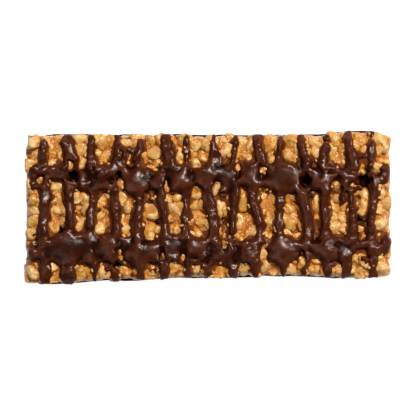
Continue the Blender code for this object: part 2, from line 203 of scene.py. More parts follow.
# Round lumps where the chocolate gathered: x, y, radius, height over the coat
LUMPS = (
    (-45.4, 10.3, 2.0, 1.4), (-40.0, 9.6, 2.4, 1.7), (-33.2, 5.9, 2.0, 1.9),
    (-27.1, 9.2, 3.0, 2.0), (-19.7, 6.9, 4.2, 1.9), (-13.6, 7.2, 2.4, 1.7),
    (-7.6, 7.2, 3.3, 2.2), (-0.5, 7.9, 3.3, 1.8), (10.7, 8.2, 3.3, 1.8),
    (20.1, 8.0, 5.0, 2.0), (26.9, 12.3, 1.7, 1.4), (31.6, 6.5, 3.2, 2.0),
    (37.0, 8.6, 2.4, 1.6), (39.9, 6.3, 1.4, 1.4), (47.6, 9.4, 2.3, 1.7),
    (-47.4, -12.4, 2.0, 1.7), (-38.6, -11.3, 5.4, 2.0), (-27.1, -10.0, 3.6, 2.0),
    (-19.7, -13.2, 3.0, 1.7), (-13.6, -11.3, 3.0, 1.8), (-8.9, -12.0, 2.6, 1.4),
    (-3.2, -10.7, 3.3, 1.8), (4.6, -11.3, 2.4, 1.6), (11.3, -11.7, 3.8, 1.9),
    (20.5, -11.3, 4.5, 2.0), (31.6, -10.7, 3.6, 1.9), (37.3, -13.8, 1.7, 1.4),
    (45.1, -11.3, 2.4, 1.6), (48.2, -9.4, 1.9, 1.3),
)
# How far a lump spreads for its radius, how soft its shoulders are (1 makes a half ball) and over
# what length and how far it's warped
LUMP_SPREAD = 1.12
LUMP_ROUNDNESS = 1.5
LUMP_WARP = (5.0, 0.9)

# Small dabs beside the pools and strands and at the bar's edges: x, y, radius
DABS = (
    (31.9, 19.0, 1.6), (-49.0, 14.6, 0.8), (-49.1, 12.9, 0.9), (42.0, -13.7, 1.4),
    (-16.2, 9.9, 1.6), (0.8, -17.6, 1.1), (11.3, -17.2, 1.0), (-14.2, -16.8, 1.0),
    (-20.4, -18.2, 1.0), (28.2, 3.2, 1.1), (48.2, -7.8, 1.1), (48.8, -10.9, 0.9),
    (41.5, -4.4, 1.0), (41.7, 13.8, 0.7), (1.6, 13.0, 0.9), (-15.0, 2.1, 0.9),
    (-29.3, -0.6, 1.0), (-47.0, -7.3, 0.9), (48.4, 11.4, 1.0), (0.6, 17.8, 0.8),
    (6.2, 17.6, 0.8), (40.5, -0.5, 0.8), (33.8, -15.4, 1.0), (-21.2, 16.1, 0.8),
    (4.4, 2.9, 0.8), (-27.2, -16.6, 1.2),
)
# The share of a lump's or dab's radius that the chocolate covers, and how far down it does
DAB_COVER = 0.95
DAB_DEPTH = 1.5

# Where the chocolate set rough and flaky: x, y, radius
ROUGH_SPOTS = (
    (11.3, -13.1, 3.4), (33.8, -9.8, 3.2), (25.7, -13.4, 2.0),
    (43.7, 11.5, 2.0), (-29.7, 9.6, 2.2), (-0.3, -13.6, 1.8),
)

# Raised cords of chocolate: half width, height over the coat and the places they pass (x, y)
CORDS = (
    (0.9, 1.5, (31.0, 10.9), (34.3, 10.5), (36.4, 9.0), (37.5, 6.3), (36.2, 3.2), (36.6, 1.6)),
    (1.5, 1.4, (24.6, 5.2), (25.8, 2.8), (26.9, -2.6), (27.3, -7.3)),
    (1.1, 1.1, (31.9, 16.6), (31.5, 14.0), (30.9, 11.5)),
    (1.0, 1.0, (44.6, 10.0), (45.4, 4.0), (44.1, -2.0), (43.9, -8.0)),
    (1.0, 1.1, (-37.9, 5.0), (-37.2, 0.0), (-36.9, -5.0)),
    (1.0, 1.1, (-31.2, 18.0), (-31.6, 15.0), (-31.9, 11.0)),
    (0.9, 1.2, (-18.6, 17.4), (-18.4, 15.5), (-19.9, 13.0)),
    (0.9, 0.9, (-23.6, 16.9), (-22.4, 14.6), (-22.6, 12.0)),
    (1.3, 1.1, (-44.1, 3.0), (-44.0, -1.0), (-44.4, -5.3)),
    (1.3, 1.2, (-31.9, -1.4), (-31.6, -4.6)),
    (1.2, 1.1, (-25.0, -0.1), (-24.6, -7.3)),
    (1.1, 1.2, (-18.4, 1.8), (-18.9, -4.0), (-19.0, -9.0)),
    (1.6, 1.0, (0.8, 1.0), (1.6, -4.0), (1.2, -8.5)),
    (1.0, 1.3, (7.3, 3.0), (6.9, -2.0), (6.5, -6.4)),
    (1.2, 1.1, (11.9, 3.0), (12.6, 0.0), (13.8, -3.9)),
    (1.1, 1.2, (31.3, 3.0), (31.3, -1.5), (31.8, -5.3)),
    (1.3, 1.2, (38.0, 18.6), (38.8, 14.0), (40.0, 10.9)),
    (1.2, 1.2, (13.0, 18.6), (13.5, 15.5), (15.0, 12.3)),
    (1.6, 1.1, (-11.3, 18.4), (-10.6, 14.5), (-10.3, 11.5)),
    (1.6, 1.2, (-37.9, 18.4), (-37.4, 16.0), (-36.6, 13.4)),
    (1.1, 1.1, (25.3, 18.4), (25.6, 16.0), (26.1, 13.5)),
    (1.0, 1.1, (-44.4, 17.6), (-44.7, 13.5)),
    (1.4, 1.2, (-37.2, -18.0), (-37.4, -20.2)),
    (1.2, 1.0, (-43.9, -17.0), (-43.7, -20.2)),
)

# The chocolate's thickness on the top and its share of that on the sides
COAT = 1.2
SIDE_COAT = 0.45
# How far in from its edge it's full, and how far past strands and pools it spreads
COAT_EDGE = 1.4
COAT_SPREAD = -0.33
# How fast it falls below 0 past its edge, and how far
BARE_FALL = 2.2
BARE_REACH = 1.4
# From how far in to how much further a pool becomes deep, and the bar's rim becomes its top
DEEP_FROM = 0.6
DEEP_OVER = 2.0
TOP_FROM = 0.2
TOP_OVER = 2.2
# Waves of the chocolate's edge: length and height
RAGGED_WAVES = ((4.0, 0.45), (1.6, 0.36))
# How far strands, pools, lumps and cords flow into each other
COAT_JOIN = 0.55
# How much the chocolate's edge keeps down on the body, and goes round raised crisps
BODY_CLING = 1.1
EDGE_CLING = 1.1
# How far the relief is blurred: the body's below strands and below pools, and the chocolate's own
SOFTNESS = 0.7
POOL_SOFTNESS = 2.3
COAT_SOFTNESS = 1.2
# Over what length a place of the drizzle counts as a hollow
HOLLOW_LENGTH = 1.1
# How deep the drizzle's skin goes into the body, and the share of its triangles that is kept
SKIN_DEPTH = 1.6
DRIZZLE_KEPT = 0.605

# The grid on which surfaces are found, and how far crisps flow into each other there
GRID_LOW = (-53.0, -23.5, -0.6)
GRID_HIGH = (53.0, 23.5, 18.8)
STEP = 0.32
BLEND = 0.5
# How far the core stays below the crisps, and how many steps of the grid its quads take
CORE_SHRINK = 0.58
CORE_STRIDE = 2
# What its material reads, as if it were a crisp; facing sets its share of the painted flank shade
CORE_LOOK = {"tint": 0.5, "folded": 0.8, "facing": 0.7}

# Wander of the long edges: the height and the waves in 2 pi mm of each of its sines
EDGE_WAVES = ((0.14, 1.9), (0.12, 1.13), (0.10, 3.1))
# Smooth noise: how many sines make it, how their rates vary and what keeps it near -1 to 1
SINES = 14
SINE_RATES = (0.7, 1.4)
WAVES_PEAK = 1.6


def eased(stations, at):
    """The values at places (an array) among (place, value) stations, eased from each one to the next."""
    at = np.asarray(at, dtype=float)
    places = [place for place, _ in stations]
    values = np.array([value for _, value in stations], dtype=float)
    index = np.clip(np.searchsorted(places, at) - 1, 0, len(places) - 2)
    low = np.take(places, index)
    share = np.clip((at - low) / (np.take(places, index + 1) - low), 0, 1)
    return values[index] + (values[index + 1] - values[index]) * share * share * (3 - 2 * share)


def uneven(x, phase):
    """A small wander of an edge along the bar."""
    waves = enumerate(EDGE_WAVES, 1)
    return sum(height * np.sin(rate * x + turn * phase) for turn, (height, rate) in waves)


def back_edge(x):
    return eased(BACK_EDGE, x) + uneven(x, 1.0)


def front_edge(x):
    return eased(FRONT_EDGE, x) + uneven(x, 4.0)


def strand_at(strand, y):
    """The x of a strand's centre and its width at y. Its stations run from the back to the front."""
    found = []
    for part in (0, 1):
        stations = [(-place, pair[part]) for place, pair in zip(STRAND_STATIONS, strand)]
        found.append(eased(stations, -np.asarray(y)))
    return found


def on_bar(x, share):
    """The place at x that is this share of the way from the front edge to the back edge."""
    front, back = float(front_edge(x)), float(back_edge(x))
    return Vector((x, front + (back - front) * share))


def outline(inset, spacing):
    """(place, outward) pairs round the bar, about this far apart and this far inside its edge."""
    half_length = (RIGHT_END - LEFT_END) / 2 - CORNER_RADIUS
    half_width = float(back_edge(0) - front_edge(0)) / 2 - CORNER_RADIUS
    halves = (half_length, half_width)
    pairs = []
    for quarter in range(4):
        outward = Matrix.Rotation(-quarter * math.pi / 2, 2) @ Vector((0, 1))
        along = Vector((outward.y, -outward.x))
        half_side, half_other = halves[::-1] if quarter % 2 else halves
        steps = round(2 * half_side / spacing)
        for step in range(steps):
            flat = outward * (half_other + CORNER_RADIUS) + along * half_side * (2 * step / steps - 1)
            pairs.append((flat, outward))
        turns = max(2, round(CORNER_RADIUS * math.pi / 2 / spacing))
        for turn in range(turns):
            angle = math.pi / 2 * turn / turns
            turned = outward * math.cos(angle) + along * math.sin(angle)
            pairs.append((outward * half_other + along * half_side + turned * CORNER_RADIUS, turned))
    width = 2 * (half_width + CORNER_RADIUS)
    middle = (LEFT_END + RIGHT_END) / 2
    return [(on_bar(middle + flat.x, flat.y / width + 0.5) - out * inset, out) for flat, out in pairs]


class Waves:
    """Smooth noise between about -1 and 1: sine waves of random direction about this long."""

    def __init__(self, length, seed):
        rng = np.random.default_rng(seed)
        ways = rng.normal(size=(SINES, 3))
        ways /= np.linalg.norm(ways, axis=1)[:, None]
        self.ways = ways * (2 * np.pi / length) * rng.uniform(*SINE_RATES, size=(SINES, 1))
        self.phases = rng.uniform(0, 2 * np.pi, SINES)

    def at(self, x, y, z):
        total = 0
        for (kx, ky, kz), phase in zip(self.ways, self.phases):
            total = total + np.sin(kx * x + ky * y + kz * z + phase)
        return total / math.sqrt(SINES / 2) / WAVES_PEAK


# --- Crisps


class Crisp:
    """One crisp: its place, shape and the plane its outer face was pressed to."""

    def __init__(self, centre, outward, rng):
        self.centre = np.array(centre, dtype=float)
        self.sizes = np.array([rng.uniform(low, high) for low, high in CRISP_HALF_SIZES])
        tilt = Vector([rng.gauss(0, 1) for _ in range(3)]) * FACE_TILT
        self.outward = np.array((Vector(outward) + tilt).normalized())
        lying = Vector(outward).to_track_quat("Z", "X").to_matrix()
        sideways = Matrix.Rotation(rng.gauss(0, CRISP_LEAN), 3, "Y")
        lean = sideways @ Matrix.Rotation(rng.gauss(0, CRISP_LEAN), 3, "X")
        self.turn = np.array(lying @ Matrix.Rotation(rng.uniform(0, math.pi), 3, "Z") @ lean)
        self.press = rng.uniform(*PRESS)
        self.boxy = rng.uniform(*BOXINESS)
        self.folded = rng.random() ** FOLD_BEND
        self.inset = rng.uniform(*EDGE_INSET)
        self.tint = rng.random()
        self.seed = rng.randrange(1 << 30)

    def distance(self, x, y, z):
        """About how far these places are outside the crisp."""
        offset = [x - self.centre[0], y - self.centre[1], z - self.centre[2]]
        turned = [sum(self.turn[k, axis] * offset[k] for k in range(3)) for axis in range(3)]
        own = sum((along / size) ** 2 for along, size in zip(turned, self.sizes))
        round_off = (np.sqrt(own) - 1) * self.sizes.mean()
        pressed = sum(self.outward[k] * offset[k] for k in range(3)) - self.press
        return np.maximum(round_off, pressed)


def side_crisps(rng):
    """Rows of crisps round the bar, every other row half a crisp further on."""
    made = []
    for row, height in enumerate(SIDE_ROW_HEIGHTS):
        for place, outward in outline(CRISP_PROUD, CRISP_PITCH):
            along = Vector((outward.y, -outward.x))
            place = place + along * (rng.uniform(-JITTER, JITTER) + CRISP_PITCH / 2 * (row % 2))
            z = height + rng.uniform(-JITTER, JITTER) / 2
            made.append(Crisp((*place, z), (*outward, 0), rng))
    return made


def top_crisps(rng):
    """Rows of crisps over the top, from the front to the back."""
    made = []
    length = RIGHT_END - LEFT_END - 2 * TOP_INSET
    columns = round(length / CRISP_PITCH)
    rows = round(float(back_edge(0) - front_edge(0) - 2 * TOP_INSET) / TOP_ROW_PITCH)
    for row in range(rows + 1):
        for column in range(columns + 1 - row % 2):
            share = (column + 0.5 * (row % 2)) / columns
            x = LEFT_END + TOP_INSET + length * share + rng.uniform(-JITTER, JITTER)
            inner = Vector((0, TOP_INSET * (1 - 2 * row / rows)))
            place = on_bar(x, row / rows) + inner + Vector((0, rng.uniform(-JITTER, JITTER)))
            z = CORE_TOP + rng.uniform(*TOP_RISE)
            made.append(Crisp((*place, z), (0, 0, 1), rng))
    return made


def poking_crisps(rng):
    """Crisps that stand high enough to show through the pools."""
    made = []
    for x, y, half_x, half_y in BARE_SPOTS:
        crisp = Crisp((x, y, CORE_TOP + POKING_RISE), (0, 0, 1), rng)
        crisp.sizes = np.array((half_x + POKING_MARGIN[0], half_y + POKING_MARGIN[1], POKING_HALF_HEIGHT))
        crisp.turn = np.array(Matrix.Rotation(rng.gauss(0, POKING_TURN), 3, "Z"))
        crisp.folded = 1.0
        made.append(crisp)
    return made


def moved_off_pits(crisps):
    """The crisps, the ones at a pit moved to its rim and the ones over its middle left out."""
    kept = []
    for crisp in crisps:
        for x, y, radius in PITS:
            offset = crisp.centre[:2] - (x, y)
            far = np.hypot(*offset)
            if far < radius + PIT_RIM:
                crisp.centre[:2] += offset * ((radius + PIT_RIM) / max(far, 0.1) - 1)
                crisp.sizes = np.minimum(crisp.sizes, PIT_RIM)
            if far < PIT_MIDDLE:
                break
        else:
            kept.append(crisp)
    return kept


# --- Fields on the grid


AXES = [np.arange(low, high, STEP, dtype=np.float32) for low, high in zip(GRID_LOW, GRID_HIGH)]
GRID = np.meshgrid(*AXES, indexing="ij", sparse=True)
CORNERS = list(itertools.product((0, 1), repeat=3))


def near(centre, reach):
    """The part of the grid within this reach of a place, as slices."""
    ends = [(middle - reach, middle + reach) for middle in centre]
    return tuple(slice(*np.searchsorted(axis, pair)) for axis, pair in zip(AXES, ends))


def plan_distance(inset):
    """How far each place of the grid is outside the bar's outline, seen from above."""
    x, y, _ = GRID
    left, right = eased(LEFT_EDGE, y), eased(RIGHT_EDGE, y)
    back, front = back_edge(x), front_edge(x)
    from_end = np.abs(x - (left + right) / 2) - ((right - left) / 2 - inset - CORNER_RADIUS)
    from_side = np.abs(y - (back + front) / 2) - ((back - front) / 2 - inset - CORNER_RADIUS)
    outside = np.hypot(np.maximum(from_end, 0), np.maximum(from_side, 0))
    return outside + np.minimum(np.maximum(from_end, from_side), 0) - CORNER_RADIUS


def core_distance():
    """How far each place of the grid is outside the bare core."""
    _, _, z = GRID
    plan = plan_distance(CRISP_PROUD)
    level = np.maximum(z - CORE_TOP, CORE_BOTTOM - z)
    outside = np.hypot(np.maximum(plan, 0), np.maximum(level, 0))
    return (outside + np.minimum(np.maximum(plan, level), 0)).astype(np.float32)


def body_field(crisps):
    """How far each place of the grid is outside the crisps and core, with its creases smoothed."""
    weight = np.exp(-core_distance() / BLEND)
    for crisp in crisps:
        part = near(crisp.centre, CRISP_REACH)
        x, y, z = (axis[cut] for axis, cut in zip(AXES, part))
        far = crisp.distance(x[:, None, None], y[None, :, None], z[None, None, :])
        weight[part] += np.exp(-far / BLEND).astype(np.float32)
    return np.maximum(-BLEND * np.log(weight), plan_distance(0)).astype(np.float32)


def united(gaps, join):
    """The distance from a union, its inner corners filled smoothly, from the distances of its parts."""
    return -join * np.log(sum(np.exp(-gap / join) for gap in gaps))


def strand_gaps():
    """About how far each place is outside each strand. A strand is as wide down to its drops' ends."""
    x, y, z = GRID
    rng = random.Random(SEED + 2)
    length, share_of_width = STRAND_WANDER
    for index, strand in enumerate(STRANDS):
        centre, width = strand_at(strand, y)
        half_width = width / 2 * (1 + share_of_width * Waves(length, SEED + 20 + index).at(0, y, 0))
        back_end = CORE_TOP - rng.uniform(*DROP_LENGTHS)
        front_end = CORE_TOP - rng.uniform(*DROP_LENGTHS)
        end = np.where(y > 0, back_end, front_end)
        below = np.clip(end + half_width - z, 0, None)
        beyond = np.clip(y - (HEADS[index] - half_width), 0, None) if index in HEADS else 0
        share = ((x - centre) ** 2 + below**2 + beyond**2) / half_width**2
        yield STRAND_SLOPE * half_width * (np.minimum(share, STRAND_REACH) - 1)


def edge_under(index, y, side):
    """The x under a strand, on this side of its centre line, where the pool beside it ends."""
    centre, width = strand_at(STRANDS[index], y)
    return centre + side * STRAND_COVER * width


def pool_gaps():
    """How far each place is outside each pool."""
    x, y, z = GRID
    for index, ends in enumerate(POOLS):
        for start, end in (ends[:2], ends[2:]):
            start, end = start - POOL_TRIM, end + POOL_TRIM
            middle = (start + end) / 2
            left = edge_under(index - 1, middle, -1) if index else POOL_ENDS[0]
            right = edge_under(index, middle, 1) if index < len(STRANDS) else POOL_ENDS[1]
            corner = min(POOL_CORNER, (start - end) / 2)
            across = np.abs(x - (left + right) / 2) - ((right - left) / 2 - corner)
            along = np.abs(y - middle) - ((start - end) / 2 - corner)
            below = np.clip(CORE_TOP - POOL_DEPTH - z, 0, None) * POOL_TAPER
            outside = np.sqrt(np.maximum(across, 0) ** 2 + np.maximum(along, 0) ** 2 + below**2)
            yield outside + np.minimum(np.maximum(across, along), 0) - corner


def dab_gaps():
    """How far each place is outside each round lump, dab and cord."""
    x, y, z = GRID
    below = np.clip(CORE_TOP - DAB_DEPTH - z, 0, None)
    for place_x, place_y, radius in [lump[:3] for lump in LUMPS] + list(DABS):
        yield np.sqrt((x - place_x) ** 2 + (y - place_y) ** 2 + below**2) - DAB_COVER * radius
    for half_width, _, *places in CORDS:
        yield np.hypot(from_cord(places), below) - half_width


def swelling():
    """The square of the height of the round lumps and cords at each place of the grid."""
    x, y, _ = GRID
    length, most = LUMP_WARP
    warp = Waves(length, SEED + 8)
    x, y = x + most * warp.at(x, y, 0), y + most * warp.at(x, y, 9.0)
    tallest = 0
    for place_x, place_y, radius, height in LUMPS:
        share = ((x - place_x) ** 2 + (y - place_y) ** 2) / (LUMP_SPREAD * radius) ** 2
        tallest = np.maximum(tallest, height**2 * np.clip(1 - share, 0, None) ** LUMP_ROUNDNESS)
    cords = 0
    for half_width, height, *places in CORDS:
        cords = np.maximum(cords, height**2 * np.clip(1 - (from_cord(places) / half_width) ** 2, 0, None))
    return tallest + cords


def from_cord(places):
    """How far each place of the grid is from a line through places, seen from above."""
    x, y, _ = GRID
    nearest = np.inf
    for (from_x, from_y), (to_x, to_y) in zip(places, places[1:]):
        along_x, along_y = to_x - from_x, to_y - from_y
        share = ((x - from_x) * along_x + (y - from_y) * along_y) / (along_x**2 + along_y**2)
        share = np.clip(share, 0, 1)
        nearest = np.minimum(nearest, np.hypot(x - from_x - share * along_x, y - from_y - share * along_y))
    return nearest


def roughness_at(x, y):
    """How rough the chocolate has set at each place, from 0 to 1."""
    most = 0
    for spot_x, spot_y, radius in ROUGH_SPOTS:
        share = ((x - spot_x) ** 2 + (y - spot_y) ** 2) / radius**2
        most = np.maximum(most, np.clip(1.6 * (1 - share), 0, 1))
    return most


def ragged_edge(soft_body, wide_body):
    """What is added to the distance from the chocolate's edge. It keeps to the hollows of the body,
    which the wide body is without."""
    x, y, z = GRID
    ragged = 0
    for seed, (length, height) in enumerate(RAGGED_WAVES, SEED + 3):
        ragged = ragged + height * Waves(length, seed).at(x, y, z)
    ragged = ragged + BODY_CLING * np.clip(soft_body, -0.4, 0.4)
    return ragged + EDGE_CLING * np.clip(wide_body - soft_body, -0.8, 0.8)


def without_bare_spots(gap):
    """The distance from the chocolate's edge, with the bare spots cut out of it."""
    x, y, _ = GRID
    for spot_x, spot_y, half_x, half_y in BARE_SPOTS:
        share = np.sqrt(((x - spot_x) / half_x) ** 2 + ((y - spot_y) / half_y) ** 2)
        wander = 0.3 * Waves(1.8, SEED + 11).at(x, y, 0)
        gap = -united([-gap, (share - 1 + wander) * min(half_x, half_y)], 0.2)
    return gap


def relief(deep):
    """What the coat's thickness is multiplied by for the chocolate's own relief, calmer in pools."""
    x, y, z = GRID
    calm = 1 - 0.7 * deep
    lumps = 1 + 0.25 * Waves(7.0, SEED + 5).at(x, y, 0)
    lumps = lumps + calm * 0.28 * Waves(3.2, SEED + 6).at(x, y, 0)
    lumps = lumps + calm * 0.09 * Waves(1.5, SEED + 9).at(x, y, z)
    return lumps + 0.28 * roughness_at(x, y) * Waves(1.5, SEED + 12).at(x, y, z)


def coat_field(soft_body, wide_body):
    """The thickness of chocolate over the body at each place of the grid, below 0 where it's bare,
    and how far into a pool the place is, from 0 to 1."""
    gap = united(itertools.chain(strand_gaps(), pool_gaps(), dab_gaps()), COAT_JOIN)
    gap = gap - COAT_SPREAD + ragged_edge(soft_body, wide_body) * np.clip(1 + gap, 0.2, 1)
    deep = np.clip((-gap - DEEP_FROM) / DEEP_OVER, 0, 1)
    gap = without_bare_spots(gap)
    inside = np.clip(-gap / COAT_EDGE, 0, 1)
    round_edge = np.sqrt(1 - (1 - inside) ** 2)
    on_top = np.clip((-plan_distance(0) - TOP_FROM) / TOP_OVER, 0, 1)
    high = SIDE_COAT + (1 - SIDE_COAT) * on_top
    thick = high * round_edge * np.sqrt((COAT * relief(deep)) ** 2 + swelling())
    coat = thick - BARE_FALL * np.clip(gap, 0, BARE_REACH)
    return coat.astype(np.float32), deep.astype(np.float32)


def softened(field, softness):
    """The field blurred across the bar and along it over about this length."""
    reach = math.ceil(2.2 * softness / STEP)
    offsets = np.arange(-reach, reach + 1)
    weights = np.exp(-((offsets * STEP / softness) ** 2) / 2)
    weights /= weights.sum()
    for axis in range(2):
        ends = [(reach, reach) if way == axis else (0, 0) for way in range(3)]
        padded = np.moveaxis(np.pad(field, ends, mode="edge"), axis, 0)
        size = field.shape[axis]
        blurred = sum(np.float32(weight) * padded[k : k + size] for k, weight in enumerate(weights))
        field = np.ascontiguousarray(np.moveaxis(blurred, 0, axis))
    return field


def dig_pits(body):
    """Cuts the pits into a field of distances."""
    x, y, z = GRID
    for pit_x, pit_y, radius in PITS:
        wide = radius * (1 + 0.30 * Waves(2.5, SEED + 7).at(x, y, z))
        bump = np.exp(-(((x - pit_x) ** 2 + 0.7 * (y - pit_y) ** 2) / wide**2) ** 2)
        body += (PIT_DEPTH * bump * np.clip((z - PIT_FLOOR) / PIT_FADE, 0, 1)).astype(np.float32)


def sample(field, points):
    """The field's values at points, from the eight grid places round each."""
    spots = (points - np.array(GRID_LOW)) / STEP
    low = np.clip(np.floor(spots).astype(int), 0, np.array(field.shape) - 2)
    share = np.clip(spots - low, 0, 1)
    total = np.zeros(len(points))
    for corner in CORNERS:
        weight = np.prod(np.where(corner, share, 1 - share), axis=1)
        total += weight * field[tuple((low + corner).T)]
    return total


def surface_net(field, stride):
    """The surface where a field on every so many steps of the grid crosses 0: one point for each cell
    that it passes, joined by quads."""
    inside = field < 0
    cells = [size - 1 for size in field.shape]

    def at(values, corner):
        return values[tuple(slice(c, c + n) for c, n in zip(corner, cells))]

    within = sum(at(inside, corner).astype(np.int8) for corner in CORNERS)
    crossed = (within > 0) & (within < len(CORNERS))
    where = np.argwhere(crossed)
    number = np.full(cells, -1, dtype=np.int64)
    number[crossed] = np.arange(len(where))
    total = np.zeros((len(where), 3))
    count = np.zeros(len(where))
    for axis in range(3):
        step = np.eye(3, dtype=int)[axis]
        for corner in CORNERS:
            if corner[axis]:
                continue
            first = field[tuple((where + corner).T)]
            second = field[tuple((where + corner + step).T)]
            cut = (first < 0) != (second < 0)
            share = np.where(cut, first / np.where(cut, first - second, 1), 0)
            total += np.where(cut[:, None], np.array(corner) + share[:, None] * step, 0)
            count += cut
    points = np.array(GRID_LOW) + (where + total / count[:, None]) * STEP * stride
    quads = []
    for axis in range(3):
        first_way, second_way = np.roll(np.eye(3, dtype=int), -axis, axis=0)[1:]
        begin = [slice(1, size - 1) for size in field.shape]
        begin[axis] = slice(0, field.shape[axis] - 1)
        after = list(begin)
        after[axis] = slice(1, field.shape[axis])
        start_in, end_in = inside[tuple(begin)], inside[tuple(after)]
        for starts, flip in ((start_in & ~end_in, False), (~start_in & end_in, True)):
            edge = np.argwhere(starts) + 1
            edge[:, axis] -= 1
            ring = [edge - first_way - second_way, edge - second_way, edge, edge - first_way]
            quad = np.stack([number[tuple(cell.T)] for cell in ring], axis=1)
            quads.append(quad[:, ::-1] if flip else quad)
    return points, np.concatenate(quads)


# --- Meshes


def linked(name, data, place=(0, 0, 0)):
    """An object at a place in the scene, in metres."""
    obj = bpy.data.objects.new(name, data)
    obj.location = place
    bpy.context.scene.collection.objects.link(obj)
    return obj


def set_attribute(mesh, name, values):
    """A number at each vertex for the material to use."""
    mesh.attributes.new(name, "FLOAT", "POINT").data.foreach_set("value", values.astype(np.float32))


def mesh_object(name, points, faces, material, attributes):
    """A smooth-shaded object from points in millimetres."""
    mesh = bpy.data.meshes.new(name)
    mesh.vertices.add(len(points))
    mesh.vertices.foreach_set("co", (np.asarray(points) * MM).astype(np.float32).ravel())
    sides = faces.shape[1]
    mesh.loops.add(faces.size)
    mesh.loops.foreach_set("vertex_index", faces.astype(np.int32).ravel())
    mesh.polygons.add(len(faces))
    mesh.polygons.foreach_set("loop_start", np.arange(0, faces.size, sides, dtype=np.int32))
    for key, values in attributes.items():
        set_attribute(mesh, key, values)
    mesh.update(calc_edges=True)
    mesh.validate()
    mesh.shade_smooth()
    mesh.materials.append(material)
    return linked(name, mesh)


def normals_of(obj):
    """The normals at an object's vertices, one row each."""
    normals = np.empty(3 * len(obj.data.vertices), dtype=np.float32)
    obj.data.vertex_normals.foreach_get("vector", normals)
    return normals.reshape(-1, 3)


def thin_out(obj, share):
    """Keeps this share of an object's triangles, fewest where it's flat."""
    fewer = obj.modifiers.new("fewer", "DECIMATE")
    fewer.ratio = share
    mesh = bpy.data.meshes.new_from_object(obj.evaluated_get(bpy.context.evaluated_depsgraph_get()))
    obj.modifiers.clear()
    obj.data = mesh


def ball(cuts):
    """Points and quads of a unit ball made from a cube cut this many times along each edge."""
    ticks = np.tan(np.linspace(-1, 1, cuts + 1) * math.pi / 4)
    points, quads = [], []
    for axis in range(3):
        for side in (-1, 1):
            u, v = np.meshgrid(ticks, ticks, indexing="ij")
            face = np.empty((cuts + 1, cuts + 1, 3))
            face[..., axis] = side
            face[..., (axis + 1) % 3] = u * side
            face[..., (axis + 2) % 3] = v
            base = sum(len(block) for block in points)
            points.append(face.reshape(-1, 3))
            index = base + np.arange((cuts + 1) ** 2).reshape(cuts + 1, cuts + 1)
            ring = [index[:-1, :-1], index[1:, :-1], index[1:, 1:], index[:-1, 1:]]
            quads.append(np.stack(ring, -1).reshape(-1, 4))
    points, quads = np.concatenate(points), np.concatenate(quads)
    keys, index = np.unique(np.round(points, 6), axis=0, return_inverse=True)
    points = keys / np.linalg.norm(keys, axis=1)[:, None]
    return points, index.reshape(-1)[quads]


def held(values, limit, soft):
    """The values, eased so that none passes the limit."""
    over = np.clip(values - (limit - soft), 0, None)
    return np.where(over > 0, limit - soft * np.exp(-over / soft), values)


def crisp_points(crisp, unit):
    """The surface of one crisp: a boxy lump with swells, blisters and wrinkles, pressed flat on its
    outer face and held inside the bar's outline. The unit ball's points say where it is found."""
    power = (np.abs(unit) ** crisp.boxy).sum(axis=1) ** (1 / crisp.boxy)
    shape = unit / power[:, None]
    radius, pressed = 1, crisp.press
    for index, (length, share, height) in enumerate(CRISP_RELIEF):
        waves = Waves(length, crisp.seed + index).at(*shape.T)
        folds = LEAST_FOLDED + (1 - LEAST_FOLDED) * crisp.folded if index else 1
        radius = radius + share * folds * waves
        pressed = pressed + height * waves
    placed = (shape * radius[:, None] * crisp.sizes) @ crisp.turn.T
    rise = placed @ crisp.outward
    placed += (held(rise, pressed, PRESS_SOFTNESS) - rise)[:, None] * crisp.outward
    points = placed + crisp.centre
    x, y = points[:, 0].copy(), points[:, 1].copy()
    right, left = eased(RIGHT_EDGE, y) - crisp.inset, eased(LEFT_EDGE, y) + crisp.inset
    back, front = back_edge(x) + BACK_REACH - crisp.inset, front_edge(x) + crisp.inset
    points[:, 0] = -held(-held(x, right, EDGE_SOFTNESS), -left, EDGE_SOFTNESS)
    points[:, 1] = -held(-held(y, back, EDGE_SOFTNESS), -front, EDGE_SOFTNESS)
    points[:, 2] = np.maximum(points[:, 2], CRISP_FOOT)
    return points


def shown(crisps, drizzle):
    """The crisps that come out of the chocolate somewhere."""
    unit, _ = ball(TEST_CUTS)
    return [crisp for crisp in crisps if sample(drizzle, crisp_points(crisp, unit)).max() > SHOWN_FROM]


def crisp_object(name, crisps, cuts, soft_body, coat, material):
    """One object of many crisps, with what its material reads: how far each place is sunk into the
    body and coated, the crisp's tint and folds, and how far the place faces outward."""
    unit, quads = ball(cuts)

    def each(key):
        return np.repeat([getattr(crisp, key) for crisp in crisps], len(unit), axis=0)

    points = np.concatenate([crisp_points(crisp, unit) for crisp in crisps])
    faces = np.concatenate([quads + index * len(unit) for index in range(len(crisps))])
    attributes = {
        "sunk": -sample(soft_body, points),
        "coated": sample(coat, points),
        "tint": each("tint"),
        "folded": each("folded"),
    }
    obj = mesh_object(name, points, faces, material, attributes)
    set_attribute(obj.data, "facing", (normals_of(obj) * each("outward")).sum(axis=1))
    return obj


# --- Materials


# Which sockets of a Mix node are its colours: two inputs and the output
MIX_FIRST, MIX_SECOND, MIX_RESULT = 6, 7, 2

# Crisps: darker and lighter ones; painted shade on flanks and lobe rims; painted light on raised places
AMBER = (0.44, 0.205, 0.032, 1)
STRAW = (0.55, 0.35, 0.130, 1)
SHADED_FLANK = (0.44, 0.130, 0.003, 1)
SHADED_LOBE_RIM = (0.48, 0.180, 0.010, 1)
LIT_RAISED = (0.54, 0.39, 0.185, 1)
# ... painted shade when sunk and in gaps, syrup and painted shade near chocolate, film under it, painted
# glints on specks
SHADED_SUNK = (0.36, 0.088, 0.001, 1)
GAP_SHADE = (0.035, 0.008, 0.001, 1)
SYRUP_AND_SHADE = (0.48, 0.160, 0.008, 1)
SMEARED = (0.16, 0.050, 0.012, 1)
PAINTED_GLINT = (0.74, 0.62, 0.43, 1)
